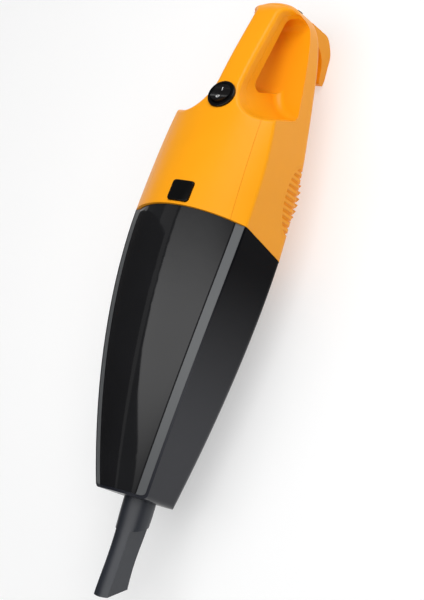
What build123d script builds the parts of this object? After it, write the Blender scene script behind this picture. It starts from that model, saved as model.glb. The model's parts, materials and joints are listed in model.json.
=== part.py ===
"""Handheld vacuum cleaner: motor casing with a loop handle, clear-topped dust cup and a crevice tool.

Millimetres. +Y runs from the nozzle to the handle, +Z is up and the machine is symmetrical about X = 0.
"""
import os
from math import atan, cos, radians, sin, sqrt, tan

from build123d import *

# ---------------------------------------------------------------- driving dimensions
rear_y = 238.5            # rear end of the handle's base
tip_y = -240.0            # front end of the crevice tool
seam_y = 49.0             # where the cup meets the casing, at the height of seam_z
seam_z = 101.0
seam_lean = 10.0          # the joint plane leans back at its top, degrees
base_z = 37.0             # flat underside of the casing and the cup, above the foot of the hook
seam_half = 52.4          # half width at the joint
base_round = 8.0          # rounding of the long lower edges
wall = 2.5                # moulded wall of the casing
fit = 0.1                 # gap between fixed pieces
seam_gap = 0.3            # between the ends of the cup and the casing
loose = 0.4               # gap beside a piece that slides or tilts
running = 0.05            # radial gap of a shaft in its hole

handle_half = 31.0        # half width of the handle's base near its rear end
outline_steps = 16        # points along each side of the plan outline
shoulder_y = 133.0        # where the casing ends and the handle starts
shoulder_z = 94.5
shoulder_half = 46.5
scoop_lean = 20.0         # the wall behind the shoulders leans, degrees
neck_round = 28.0         # plan radius from the shoulders into the grip
grip_half = 11.5
grip_depth = 17.0
top_edge_round = 4.0
grip_end_low = 75.0          # all edges of the crown lie above this height
grip_end_play = 1.5
joint_reach = 25.0           # edges that end closer to the joint than this stay sharp
floor_z = 52.0            # lowest line of the dished floor under the grip
floor_round = 105.0       # radius of that dish
finger_front_y = 156.0
scoop_rear_y = 224.0      # the wall that closes the scoops at the rear, at the floor
rear_wall_lean = 20.0
rear_corner_round = 10.0
foot_round = 7.0          # where the end walls run into the floor
finger_round = 6.0
crown_edge = 58.0         # half width over which the crown's sections are drawn
# the crown at stations along Y: (y, height of its middle line, radius across it)
crown_stations = [
    (20, 120.3, 72),
    (62, 118.0, 72),
    (105, 111.8, 76),
    (145, 104.6, 82),
    (185, 94.4, 90),
    (250, 75.0, 90),
]

cover_half = 42.3         # half width of the top cover at the joint
cover_taper = 0.058       # how fast the cover narrows towards the rear
cover_edge = [(20, 102.0), (123, 94.5), (160, 92.3), (250, 65.4)]  # its lower limit, (y, z)

post_places = [(36.0, 64.0), (33.0, 124.0)]  # screw posts on the right side, (x, y)
post_joint_z = 60.0
post_radius = 4.5
screw_radius = 1.5
screw_length = 14.0
screw_head_radius = 3.0
screw_head_height = 2.0

vent_y = 86.0
vent_z = 42.0
vent_long = 30.0          # half axes of each oval vent
vent_high = 19.0
vent_pitch = 5.0
vent_slot = 2.6
vent_bars = 11
vent_rim = 2.6
vent_inner_x = 43.0

cup_length = 212.0
nose_half = 24.2
nose_taper = 1.7          # power of the plan curve from the joint to the nose
bevel_width = 7.5
bevel_drop = 4.6
top_rise = 17.3           # the cup's top line rises, then droops towards the nose
top_droop = 35.0
seam_crown = 16.5         # how far the cup's top bulges above its bevels
nose_crown = 4.5
cup_wall = 3.5
cup_top_wall = 2.2
cup_floor = 2.5
nose_wall = 4.0
nose_round = 5.0
window_rim = 1.5          # wall of the cup left beside the clear top
window_depth = 2.5        # how far the clear top's skirt reaches below the bevel
window_front = 2.2
window_round = 4.0

nozzle_z = 52.5
tube_radius = 12.5
tube_wall = 1.8
socket_radius = 15.0
socket_length = 34.0
tail_length = 22.0
# the crevice tool's round section: (distance from the nose, radius, height of its middle)
tool_stations = [
    (0, 12.5, 52.5),
    (8, 12.5, 52.5),
    (16, 12.3, 52.5),
    (28, 11.7, 52.9),
    (52, 11.3, 54.3),
    (86, 11.0, 56.4),
]
blade_half = 6.6
tip_slant = 10.0
duct_length = 35.0
duct_grip = 10.0          # how much of the duct sits in the socket
duct_wall = 1.5
flap_pin_radius = 1.0
flap_thickness = 1.2

motor_z = 70.5
shaft_radius = 4.0
shroud_y = 57.0
shroud_radius = 30.0
shroud_length = 18.0
shroud_wall = 1.4
fan_radius = 27.0
fan_blades = 9
field_y = 90.0
field_length = 24.0
field_size = 56.0
armature_radius = 16.9
air_gap = 0.5
commutator_radius = 11.0
bearing_radius = 9.5
bearing_width = 7.0
front_bearing_y = 79.5
rear_bearing_y = 128.0
bolt_x = 23.5
bolt_radius = 1.9

bulkhead_back = 1.5       # the bulkhead's face lies behind the joint plane by the gasket's depth
bulkhead_thick = 4.0
spigot_length = 8.0
spigot_inset = 5.0
spigot_wall = 2.0
air_hole = 22.0
collar_bore = 24.3
collar_radius = 26.0
collar_front_y = 24.0
filter_length = 66.0
filter_radius = 25.5
filter_core = 20.0
pleats = 24

switch_y = 145.5
switch_z = 104.5
switch_lean = 11.5
bezel_radius = 11.5
bezel_height = 1.6
barrel_radius = 10.0
barrel_depth = 18.0
rocker_radius = 8.3

button_y = 62.9
button_width = 19.0
button_length = 16.6
button_proud = 1.6
button_travel = 3.0
button_foot_z = 112.0
well_floor_z = 102.6
spring_radius = 4.4
spring_wire = 0.35
spring_turns = 4

hook_half = 16.0
hook_tip_y = 196.0
hook_screw_places = [(9.0, 226.0), (-9.0, 226.0)]
grommet_z = 47.0
grommet_radius = 6.4
grommet_length = 10.0
grommet_flange = 1.5
cord_radius = 4.0

seam_plane = Plane(
    origin=(0, seam_y, seam_z),
    x_dir=(1, 0, 0),
    z_dir=(0, cos(radians(seam_lean)), -sin(radians(seam_lean))),
)
nose_y = seam_y - cup_length
os.makedirs("parts", exist_ok=True)


def behind_seam(distance):
    """The joint plane moved towards the rear."""
    return seam_plane.offset(distance)


# ---------------------------------------------------------------- outer forms of the casing
def plan_outline(height, inset):
    """Plan outline of the casing and handle at a height, drawn in by inset."""
    with BuildSketch(Plane.XY.offset(height)) as outline:
        with BuildLine():
            outer = Spline(
                (seam_half, 10),
                (seam_half - 0.6, 75),
                (seam_half - 2.4, 105),
                (shoulder_half - 1.5, shoulder_y + 8),
                (handle_half + 7, 182),
                (handle_half, rear_y - 27),
                (0.68 * handle_half, rear_y - 8),
                (0, rear_y),
                tangents=[(0, 1), (-1, 0)],
                mode=Mode.PRIVATE,
            )
            shares = [step / outline_steps for step in range(outline_steps + 1)]
            inward = [(outer % share).rotate(Axis.Z, 90) * inset for share in shares]
            drawn_in = [outer @ share + move for share, move in zip(shares, inward)]
            right = Spline(*drawn_in, tangents=[(0, 1), (-1, 0)])
            left = mirror(right, about=Plane.YZ)
            Line(right @ 0, left @ 0)
        make_face()
    return outline.sketch


def plan_block(inset):
    """The casing's plan outline standing on its rounded lower edge."""
    with BuildPart() as block:
        extrude(plan_outline(base_z + inset, inset), amount=110)
        lower_edges = block.edges().group_by(Axis.Z)[0].filter_by(GeomType.LINE, reverse=True)
        fillet(lower_edges, base_round - inset)
    return block.part


def crown_block(inset):
    """Everything below the crowned top surface, lowered by inset."""
    with BuildPart() as block:
        for y, top, radius in crown_stations:
            small = radius - inset
            edge_z = top - radius + sqrt(small**2 - crown_edge**2)
            with BuildSketch(Plane.XZ.offset(-y)):
                with BuildLine():
                    ThreePointArc((-crown_edge, edge_z), (0, top - inset), (crown_edge, edge_z))
                    Polyline((crown_edge, edge_z), (crown_edge, 0), (-crown_edge, 0), (-crown_edge, edge_z))
                make_face()
        loft()
    return block.part


def above_floor(inset):
    """The round space above the dished floor under the grip."""
    with BuildPart() as block:
        with BuildSketch(Plane.XZ):
            with Locations((0, floor_z + floor_round - inset)):
                Circle(floor_round)
        extrude(amount=400, both=True)
    return block.part


def rear_wall(height, inset):
    """Y of the leaning wall that closes the scoops at the rear, at a height."""
    lean = radians(rear_wall_lean)
    return scoop_rear_y + (height - floor_z) * tan(lean) + inset / cos(lean)


def before_rear_wall(inset):
    """The space in front of that wall."""
    top = shoulder_z + 40
    with BuildPart() as block:
        with BuildSketch(Plane.YZ):
            with BuildLine():
                Polyline(
                    (0, 0),
                    (rear_wall(0, inset), 0),
                    (rear_wall(top, inset), top),
                    (0, top),
                    close=True,
                )
            make_face()
        extrude(amount=90, both=True)
    return block.part


def foot_edges(block):
    """The edges where the end walls meet the dished floor."""
    dish = block.faces().filter_by(GeomType.CYLINDER).sort_by(lambda face: face.radius)[-1]
    return dish.edges().filter_by(lambda edge: abs((edge @ 0).X - (edge @ 1).X) > 5)


def side_scoops(inset):
    """What is taken away on both sides of the grip, from the shoulders to the rear wall."""
    lift = 36.0
    front = shoulder_y - lift * tan(radians(scoop_lean)) - inset / cos(radians(scoop_lean))
    inner = grip_half - inset
    with BuildPart() as block:
        with BuildSketch(Plane.XY.offset(shoulder_z + lift)) as outline:
            with BuildLine():
                Polyline((inner, 300), (inner, front), (80, front), (80, 300), (inner, 300))
            make_face()
            neck = outline.vertices().group_by(Axis.Y)[0].sort_by(Axis.X)[0]
            fillet(neck, neck_round + inset)
        extrude(amount=110, dir=(0, sin(radians(scoop_lean)), -cos(radians(scoop_lean))))
        add(before_rear_wall(inset), mode=Mode.INTERSECT)
        add(above_floor(inset), mode=Mode.INTERSECT)
        rear_corner = block.edges().filter_by(
            lambda edge: abs((edge @ 0).X - inner) + abs((edge @ 1).X - inner) < 0.01
        )
        fillet(rear_corner.sort_by(Axis.Y)[-1], rear_corner_round + inset)
        fillet(foot_edges(block), foot_round + inset)
        mirror(about=Plane.YZ)
    return block.part


def grip_top(y):
    """Height of the grip's top line at y."""
    (y0, z0, _), (y1, z1, _) = crown_stations[-2:]
    return z0 + (z1 - z0) * (y - y0) / (y1 - y0)


def finger_hole(inset):
    """The opening below the grip, right through from side to side."""
    front = finger_front_y - inset
    below = 12.0
    front_top = grip_top(front) - grip_depth + inset
    rear_top = grip_top(scoop_rear_y) - grip_depth + inset
    drop = front_top - (floor_z - below)
    with BuildPart() as block:
        with BuildSketch(Plane.YZ) as outline:
            with BuildLine():
                Polyline(
                    (front + drop * tan(radians(scoop_lean)), floor_z - below),
                    (front, front_top),
                    (rear_wall(rear_top, inset), rear_top),
                    (rear_wall(floor_z - below, inset), floor_z - below),
                    close=True,
                )
            make_face()
            fillet(outline.vertices().sort_by(Axis.Y)[-2:], finger_round + inset)
        extrude(amount=grip_half + rear_corner_round, both=True)
        add(above_floor(inset), mode=Mode.INTERSECT)
        fillet(foot_edges(block), foot_round + inset)
    return block.part


def casing_form(inset):
    """The whole casing with its handle, as one solid drawn in by inset."""
    with BuildPart() as form:
        add(plan_block(inset))
        add(crown_block(inset), mode=Mode.INTERSECT)
        add(side_scoops(inset), mode=Mode.SUBTRACT)
        add(finger_hole(inset), mode=Mode.SUBTRACT)
    return form.part


def is_top_edge(edge):
    """True for the edges that run round the crowned top, other than the one at the joint."""
    start, end, middle = edge @ 0, edge @ 1, edge @ 0.5
    on_crown = edge.geom_type == GeomType.BSPLINE and middle.Z > grip_end_low
    ends_on_crown = min(start.Z, end.Z) > grip_end_low + grip_end_play
    in_the_hole = abs(middle.X) < grip_half - 0.5 and middle.Y < rear_y - 1
    past_the_joint = max(start.Y, end.Y) > seam_y + joint_reach
    return on_crown and ends_on_crown and past_the_joint and not in_the_hole


with BuildPart() as outer_form:
    add(casing_form(0))
    split(bisect_by=seam_plane, keep=Keep.TOP)
    fillet(outer_form.edges().filter_by(is_top_edge), top_edge_round)

inner_form = casing_form(wall)


def front_block(inset):
    """The casing's section at the joint, continued forwards, drawn in by inset."""
    with BuildPart() as block:
        add(plan_block(inset))
        add(crown_block(inset), mode=Mode.INTERSECT)
    return block.part


def seam_slab(section, start, end):
    """The slice of a section between two distances behind the joint plane."""
    with BuildPart() as slab:
        add(section)
        split(bisect_by=behind_seam(start), keep=Keep.TOP)
        split(bisect_by=behind_seam(end), keep=Keep.BOTTOM)
    return slab.part


def cover_zone(gap):
    """The space of the top cover: between its two side lines and above its lower limit."""
    front_y, rear_end = cover_edge[0][0], cover_edge[-1][0]
    front_half = cover_half - cover_taper * (front_y - seam_y) + gap
    rear_half = cover_half - cover_taper * (rear_end - seam_y) + gap
    with BuildPart() as zone:
        with BuildSketch():
            with BuildLine():
                Polyline(
                    (-front_half, front_y),
                    (front_half, front_y),
                    (rear_half, rear_end),
                    (-rear_half, rear_end),
                    close=True,
                )
            make_face()
        extrude(amount=200)
        with BuildSketch(Plane.YZ):
            with BuildLine():
                Polyline(*[(y, z - gap) for y, z in cover_edge], (rear_end, 200), (front_y, 200), close=True)
            make_face()
        extrude(amount=100, both=True, mode=Mode.INTERSECT)
    return zone.part


def vent_prisms(long_half, high_half, inner_x):
    """Oval prisms through both sides of the casing, outwards from inner_x."""
    with BuildPart() as prisms:
        with BuildSketch(Plane.YZ.offset(inner_x)):
            with Locations((vent_y, vent_z)):
                Ellipse(long_half, high_half)
        extrude(amount=seam_half)
        mirror(about=Plane.YZ)
    return prisms.part


def button_block(grow, bottom, top):
    """The release button's outline between two heights, grown by a gap."""
    with BuildPart() as block:
        with BuildSketch(Plane.XY.offset(bottom)):
            with Locations((0, button_y)):
                RectangleRounded(button_width + 2 * grow, button_length + 2 * grow, 2.5 + grow)
        extrude(amount=top - bottom)
    return block.part


def along_y(start, end, radius, height, bore=0.0):
    """A rod or a tube parallel to Y, centred on X = 0."""
    with BuildPart() as rod:
        with BuildSketch(Plane.XZ.offset(-start)):
            with Locations((0, height)):
                Circle(radius)
                if bore:
                    Circle(bore, mode=Mode.SUBTRACT)
        extrude(amount=start - end)
    return rod.part


# ---------------------------------------------------------------- lower casing and its vents
post_sides = [(side * x, y) for x, y in post_places for side in (1, -1)]
head_seat_z = post_joint_z - 8.0
cradle_y = 62.0
cradle_width = 44.0
cradle_thick = 3.0
rear_rib_y = 136.5
rear_rib_thick = 4.0
rear_rib_width = 34.0
rear_boss_radius = 12.0
rear_mount_radius = 14.5

with BuildPart() as shell:
    add(outer_form)
    add(inner_form, mode=Mode.SUBTRACT)

with BuildPart() as lower_casing:
    add(shell)
    add(cover_zone(fit), mode=Mode.SUBTRACT)
    add(vent_prisms(vent_long, vent_high, vent_inner_x), mode=Mode.SUBTRACT)
    with BuildSketch(Plane.XY.offset(base_z + wall / 2)):
        with Locations(*post_sides):
            Circle(post_radius)
    extrude(amount=post_joint_z - fit - base_z - wall / 2)
    with BuildSketch(Plane.XZ.offset(-cradle_y)):
        with Locations((0, base_z + wall / 2)):
            Rectangle(cradle_width, 9, align=(Align.CENTER, Align.MIN))
        with Locations((0, motor_z)):
            Circle(shroud_radius + fit, mode=Mode.SUBTRACT)
    extrude(amount=-cradle_thick)
    with BuildSketch(Plane.XZ.offset(-rear_rib_y)):
        with Locations((0, base_z + wall / 2)):
            Rectangle(rear_rib_width, motor_z - base_z - wall, align=(Align.CENTER, Align.MIN))
        with Locations((0, motor_z)):
            Circle(rear_mount_radius + fit, mode=Mode.SUBTRACT)
    extrude(amount=-rear_rib_thick)
    with BuildSketch(Plane.XY.offset(base_z - 1)):
        with Locations(*post_sides):
            Circle(screw_head_radius + loose)
    extrude(amount=head_seat_z - base_z + 1, mode=Mode.SUBTRACT)
    with BuildSketch(Plane.XY.offset(base_z - 1)):
        with Locations(*post_sides, *hook_screw_places):
            Circle(screw_radius + fit)
    extrude(amount=post_joint_z - base_z + 2, mode=Mode.SUBTRACT)
    with BuildSketch(Plane.XZ.offset(-rear_y - 1)):
        with Locations((0, grommet_z)):
            Circle(grommet_radius + fit)
    extrude(amount=grommet_length, mode=Mode.SUBTRACT)

with BuildPart() as vent_grille_right:
    add(shell)
    add(vent_prisms(vent_long - fit, vent_high - fit, vent_inner_x + fit), mode=Mode.INTERSECT)
    split(bisect_by=Plane.YZ, keep=Keep.TOP)
    with BuildSketch(Plane.YZ.offset(vent_inner_x + vent_rim)):
        with Locations((vent_y, vent_z)):
            with GridLocations(vent_pitch, 0, vent_bars, 1):
                Rectangle(vent_slot, 2 * vent_high)
            Ellipse(vent_long - vent_rim, vent_high - vent_rim, mode=Mode.INTERSECT)
    extrude(amount=seam_half, mode=Mode.SUBTRACT)

with BuildPart() as vent_grille_left:
    add(mirror(vent_grille_right.part, about=Plane.YZ))

# ---------------------------------------------------------------- top cover
well_wall = 1.8
well_floor = 2.0
stem_radius = 2.6
tongue_half = 5.0
tongue_top_z = button_foot_z + 0.5
tongue_thick = 2.0
above_all = 140.0
switch_plane = Plane(
    origin=(0, switch_y, switch_z),
    x_dir=(1, 0, 0),
    z_dir=(0, sin(radians(switch_lean)), cos(radians(switch_lean))),
)
bezel_seat = 1.1          # the bezel's flange is let into the cover by this much

def button_well(gap):
    """The well round the button's foot, before it is hollowed, grown by a gap."""
    return button_block(loose + well_wall + gap, well_floor_z - gap, above_all)


with BuildPart() as cover_fittings:
    add(button_well(0))
    with BuildSketch(Plane.XY.offset(post_joint_z)):
        with Locations(*post_sides):
            Circle(post_radius - 1)
    extrude(amount=above_all - post_joint_z)
    add(outer_form, mode=Mode.INTERSECT)

with BuildPart() as upper_casing:
    add(shell)
    add(cover_zone(-fit), mode=Mode.INTERSECT)
    add(cover_fittings)
    add(button_block(loose, well_floor_z + well_floor, above_all), mode=Mode.SUBTRACT)
    with BuildSketch(Plane.XY.offset(well_floor_z - 1)):
        with Locations((0, button_y)):
            Circle(stem_radius + loose)
    extrude(amount=5, mode=Mode.SUBTRACT)
    with BuildSketch(Plane.XY.offset(post_joint_z - 1)):
        with Locations(*post_sides):
            Circle(screw_radius + running)
    extrude(amount=screw_length, mode=Mode.SUBTRACT)
    with BuildSketch(Plane.XZ.offset(-seam_y)):
        with Locations((0, tongue_top_z + loose)):
            Rectangle(
                2 * (tongue_half + loose),
                tongue_thick + button_travel + 2 * loose,
                align=(Align.CENTER, Align.MAX),
            )
    extrude(amount=-8, mode=Mode.SUBTRACT)
    with BuildSketch(switch_plane.offset(-bezel_seat)):
        Circle(bezel_radius + fit)
    extrude(amount=10, mode=Mode.SUBTRACT)
    with BuildSketch(switch_plane):
        Circle(barrel_radius + fit)
    extrude(amount=barrel_depth, both=True, mode=Mode.SUBTRACT)

# ---------------------------------------------------------------- round rocker switch
rocker_sweep = rocker_radius + 0.2
pocket_radius = rocker_radius + 0.6
rocker_rise = 2.9
rocker_depth = 2.6
trunnion_radius = 1.0
trunnion_half = bezel_radius - 1.9
rocker_tilt = 10.0

with BuildPart() as switch_body:
    with BuildSketch(switch_plane.offset(-barrel_depth)):
        Circle(barrel_radius)
    extrude(amount=barrel_depth)
    with BuildSketch(switch_plane.offset(-bezel_seat + fit)):
        Circle(bezel_radius)
    extrude(amount=bezel_seat - fit + bezel_height)
    fillet(switch_body.edges().filter_by(GeomType.CIRCLE).sort_by(Axis.Z)[-1:], 0.8)
    with BuildSketch(switch_plane.offset(-rocker_sweep - 1)):
        Circle(pocket_radius)
    extrude(amount=2 * rocker_sweep, mode=Mode.SUBTRACT)
    with Locations(switch_plane.location * Location((0, 0, 0), (0, 90, 0))):
        Cylinder(trunnion_radius + running, 2 * trunnion_half + fit, mode=Mode.SUBTRACT)

rocker_plane = Plane(switch_plane.location * Location((0, 0, 0), (-rocker_tilt, 0, 0)))
with BuildPart() as switch_rocker:
    with BuildSketch(rocker_plane.offset(-rocker_depth)):
        Circle(rocker_radius)
    extrude(amount=rocker_depth + rocker_rise)
    with Locations(rocker_plane.location * Location((0, 0, 0), (0, 90, 0))):
        Cylinder(rocker_sweep, 2 * rocker_radius, mode=Mode.INTERSECT)
    with Locations(rocker_plane.location * Location((0, 0, 11.5), (0, 90, 0))):
        Cylinder(9.7, 2 * rocker_radius, mode=Mode.SUBTRACT)
    with Locations(rocker_plane.location * Location((0, 0, 0), (0, 90, 0))):
        Cylinder(trunnion_radius, 2 * trunnion_half)

# ---------------------------------------------------------------- release button and its spring
tongue_front_y = 44.0
tongue_rear_y = 57.0
barb_length = 2.0
barb_top_z = 113.6
spring_height = button_foot_z - well_floor_z - well_floor - 2 * (spring_wire + fit)

with BuildPart() as release_button:
    add(button_block(0, button_foot_z, above_all))
    add(crown_block(-button_proud), mode=Mode.INTERSECT)
    fillet(release_button.faces().sort_by(Axis.Z)[-1].edges(), 0.7)
    with BuildSketch(Plane.XY.offset(well_floor_z + 1)):
        with Locations((0, button_y)):
            Circle(stem_radius)
    extrude(amount=button_foot_z - well_floor_z)
    with BuildSketch(Plane.YZ):
        with BuildLine():
            Polyline(
                (tongue_front_y, tongue_top_z - tongue_thick),
                (tongue_front_y, barb_top_z),
                (tongue_front_y + barb_length, tongue_top_z),
                (tongue_rear_y, tongue_top_z),
                (tongue_rear_y, tongue_top_z - tongue_thick),
                close=True,
            )
        make_face()
    extrude(amount=tongue_half, both=True)

with BuildPart() as button_spring:
    with BuildLine(Plane(origin=(0, button_y, well_floor_z + well_floor + spring_wire + fit))) as coil:
        Helix(spring_height / spring_turns, spring_height, spring_radius)
    with BuildSketch(Plane(origin=coil.line @ 0, z_dir=coil.line % 0)):
        Circle(spring_wire)
    sweep()

# ---------------------------------------------------------------- bulkhead, spigot and gasket
def tongue_notch():
    """The way through for the button's tongue, with its travel."""
    with BuildPart() as notch:
        with BuildSketch(Plane.XY.offset(tongue_top_z - tongue_thick - button_travel - loose)):
            with Locations((0, seam_y)):
                Rectangle(2 * (tongue_half + loose), 60)
        extrude(amount=30)
    return notch.part


plate_section = front_block(wall + fit)
spigot_section = front_block(spigot_inset)
spigot_hollow = front_block(spigot_inset + spigot_wall)
plate_back = bulkhead_back + bulkhead_thick

seat_reach = 9.0          # how far the filter's seat reaches into its collar

with BuildPart() as filter_seat:
    add(along_y(collar_front_y + seat_reach, shroud_y, collar_bore - 3 * fit, motor_z))
    split(bisect_by=behind_seam(plate_back - 1), keep=Keep.BOTTOM)

with BuildPart() as bulkhead:
    add(seam_slab(plate_section, bulkhead_back, plate_back))
    add(seam_slab(spigot_section, -spigot_length, bulkhead_back + 1))
    add(seam_slab(spigot_hollow, -spigot_length - 1, bulkhead_back), mode=Mode.SUBTRACT)
    add(filter_seat)
    add(along_y(0, shroud_y, air_hole, motor_z), mode=Mode.SUBTRACT)
    add(tongue_notch(), mode=Mode.SUBTRACT)
    add(button_well(fit), mode=Mode.SUBTRACT)

with BuildPart() as cup_gasket:
    add(seam_slab(plate_section, -2 * fit, bulkhead_back))
    add(seam_slab(front_block(spigot_inset - fit), -1, bulkhead_back + 1), mode=Mode.SUBTRACT)
    add(tongue_notch(), mode=Mode.SUBTRACT)
    add(button_well(fit), mode=Mode.SUBTRACT)

# ---------------------------------------------------------------- filter
filter_front_y = collar_front_y - filter_length
core_wall = 1.5
core_slot = 4.5

with BuildPart() as filter_frame:
    add(along_y(collar_front_y, shroud_y, collar_radius, motor_z, collar_bore))
    split(bisect_by=behind_seam(bulkhead_back - fit), keep=Keep.BOTTOM)
    add(along_y(collar_front_y - 2, collar_front_y, collar_radius, motor_z, filter_core - core_wall))
    add(along_y(filter_front_y, collar_front_y - 1, filter_core, motor_z, filter_core - core_wall))
    with BuildSketch(Plane.YZ):
        with Locations(((filter_front_y + collar_front_y) / 2 - 2, motor_z)):
            with GridLocations(core_slot * 2, 0, 6, 1):
                Rectangle(core_slot, filter_core)
    extrude(amount=filter_core + 1, both=True, mode=Mode.SUBTRACT)

pleat_turn = 180.0 / pleats
pleat_depth = 4.6
pleat_cloth = 0.7


def pleat_line(inner, outer):
    """Corner points of a zigzag ring about the motor's axis, between two radii."""
    turns = range(2 * pleats)
    radii = [inner if turn % 2 else outer for turn in turns]
    return [
        (radius * cos(radians(turn * pleat_turn)), motor_z + radius * sin(radians(turn * pleat_turn)))
        for turn, radius in zip(turns, radii)
    ]


with BuildPart() as filter_element:
    with BuildSketch(Plane.XZ.offset(-collar_front_y + 2 + fit)):
        with BuildLine():
            Polyline(*pleat_line(filter_radius - pleat_depth, filter_radius), close=True)
        make_face()
        with BuildLine():
            inner_folds = pleat_line(filter_radius - pleat_depth - pleat_cloth, filter_radius - pleat_cloth)
            Polyline(*inner_folds, close=True)
        make_face(mode=Mode.SUBTRACT)
    extrude(amount=filter_length - 2 - fit)

with BuildPart() as filter_cap:
    with BuildSketch(Plane.XZ.offset(-filter_front_y + fit)):
        with Locations((0, motor_z)):
            Circle(filter_radius + loose)
    extrude(amount=3)
    fillet(filter_cap.edges().group_by(Axis.Y)[0], 1.5)

# ---------------------------------------------------------------- dust cup and its clear top
def cup_half(share):
    """Half width of the cup."""
    return nose_half + (seam_half - nose_half) * (1 - max(share, 0) ** nose_taper)


def bevel_top(share):
    """Height of the line where the cup's crowned top meets its bevel."""
    return seam_z + top_rise * share - top_droop * share**2


cup_shares = [-0.07, 0.0, 0.2, 0.4, 0.6, 0.8, 1.0]


def cup_form(side, top, floor, nose):
    """The cup's outer form with its walls drawn in by the four given thicknesses."""
    with BuildPart() as form:
        for share in cup_shares:
            half = cup_half(share) - side
            panel = cup_half(share) - bevel_width
            corner = bevel_top(share) - top
            side_top = corner - bevel_drop * (bevel_width - side) / bevel_width
            crown = corner + seam_crown + (nose_crown - seam_crown) * share
            y = seam_y - (cup_length - nose) * share
            with BuildSketch(Plane.XZ.offset(-y)) as section:
                with BuildLine():
                    Polyline(
                        (-panel, corner),
                        (-half, side_top),
                        (-half, base_z + floor),
                        (half, base_z + floor),
                        (half, side_top),
                        (panel, corner),
                    )
                    ThreePointArc((panel, corner), (0, crown), (-panel, corner))
                make_face()
                fillet(section.vertices().group_by(Axis.Y)[0], base_round - floor)
        loft()
        split(bisect_by=behind_seam(-seam_gap), keep=Keep.BOTTOM)
    return form.part


def window_zone(gap):
    """The space of the clear top between the cup's rims, grown by a gap."""
    with BuildPart() as zone:
        for share in cup_shares:
            half = cup_half(share) - window_rim + gap
            bottom = bevel_top(share) - bevel_drop - window_depth - gap
            y = seam_y - (cup_length - window_front + gap) * share
            with BuildSketch(Plane.XZ.offset(-y)):
                with Locations((0, bottom)):
                    Rectangle(2 * half, 60, align=(Align.CENTER, Align.MIN))
        loft()
        front = zone.edges().group_by(Axis.Y)[0]
        fillet(front.filter_by(lambda edge: abs(edge.center().X) > nose_half / 2), window_round)
    return zone.part


def nose_corners():
    """What is taken off both upright corners of the nose to round them."""
    slope = (cup_half(0.99) - nose_half) / (0.01 * cup_length)
    turn = atan(slope)
    centre_x = nose_half + nose_round * slope - nose_round / cos(turn)
    centre_y = nose_y + nose_round
    end_x = centre_x + nose_round * cos(turn)
    end_y = centre_y - nose_round * sin(turn)
    middle = (turn + radians(90)) / 2
    with BuildPart() as corners:
        with BuildSketch():
            with BuildLine():
                ThreePointArc(
                    (end_x, end_y),
                    (centre_x + nose_round * cos(middle), centre_y - nose_round * sin(middle)),
                    (centre_x, nose_y),
                )
                Polyline(
                    (centre_x, nose_y),
                    (centre_x, nose_y - 1),
                    (end_x + 1, nose_y - 1),
                    (end_x + 1, end_y),
                    (end_x, end_y),
                )
            make_face()
            mirror(about=Plane.YZ)
        extrude(amount=above_all)
    return corners.part


with BuildPart() as cup_shell:
    add(cup_form(0, 0, 0, 0))
    add(nose_corners(), mode=Mode.SUBTRACT)
    add(cup_form(cup_wall, cup_top_wall, cup_floor, nose_wall), mode=Mode.SUBTRACT)

with BuildPart() as dust_cup:
    add(cup_shell)
    add(window_zone(fit), mode=Mode.SUBTRACT)
    add(along_y(nose_y + 1, nose_y + socket_length, socket_radius, nozzle_z))
    add(along_y(nose_y - 1, nose_y + socket_length + 1, tube_radius + running, nozzle_z), mode=Mode.SUBTRACT)

with BuildPart() as top_window:
    add(cup_shell)
    add(window_zone(0), mode=Mode.INTERSECT)
    with BuildSketch(Plane.XZ.offset(-seam_y + 2)):
        with Locations((0, barb_top_z + loose)):
            Rectangle(2 * tongue_half, 3, align=(Align.CENTER, Align.MIN))
    extrude(amount=2)

# ---------------------------------------------------------------- inlet duct and its flap
duct_start = nose_y + socket_length - duct_grip
duct_end = duct_start + duct_length
pin_y = duct_end + flap_thickness + fit
pin_z = nozzle_z + tube_radius + 2.6
ear_gap = 3.3
ear_thick = 2.0
barrel_radius_flap = 1.9

with BuildPart() as inlet_duct:
    add(along_y(duct_start, duct_end, tube_radius, nozzle_z, tube_radius - duct_wall))
    with BuildSketch(Plane.YZ.offset(ear_gap)):
        with BuildLine():
            Polyline(
                (duct_end - 8, nozzle_z + 10.8),
                (duct_end, nozzle_z + 10.8),
                (duct_end, nozzle_z + tube_radius + 0.6),
                (pin_y + 2.1, nozzle_z + tube_radius + 0.6),
                (pin_y + 2.1, pin_z + 2.1),
                (pin_y - 2.1, pin_z + 2.1),
                close=True,
            )
        make_face()
    extrude(amount=ear_thick)
    mirror(about=Plane.YZ)
    with Locations(Location((0, pin_y, pin_z), (0, 90, 0))):
        Cylinder(flap_pin_radius + running, 4 * ear_gap, mode=Mode.SUBTRACT)

with BuildPart() as inlet_flap:
    with BuildSketch(Plane.XZ.offset(-duct_end - fit)):
        with Locations((0, nozzle_z)):
            Circle(tube_radius)
        with Locations((0, pin_z)):
            Rectangle(2 * (ear_gap - fit) - 0.4, 8, align=(Align.CENTER, Align.MAX))
    extrude(amount=-flap_thickness)
    with Locations(Location((0, pin_y, pin_z), (0, 90, 0))):
        Cylinder(barrel_radius_flap, 2 * (ear_gap - fit) - 0.4)
        Cylinder(flap_pin_radius + running, 4 * ear_gap, mode=Mode.SUBTRACT)

with BuildPart() as flap_pin:
    with Locations(Location((0, pin_y, pin_z), (0, 90, 0))):
        Cylinder(flap_pin_radius, 2 * (ear_gap + ear_thick) + 1)

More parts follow.
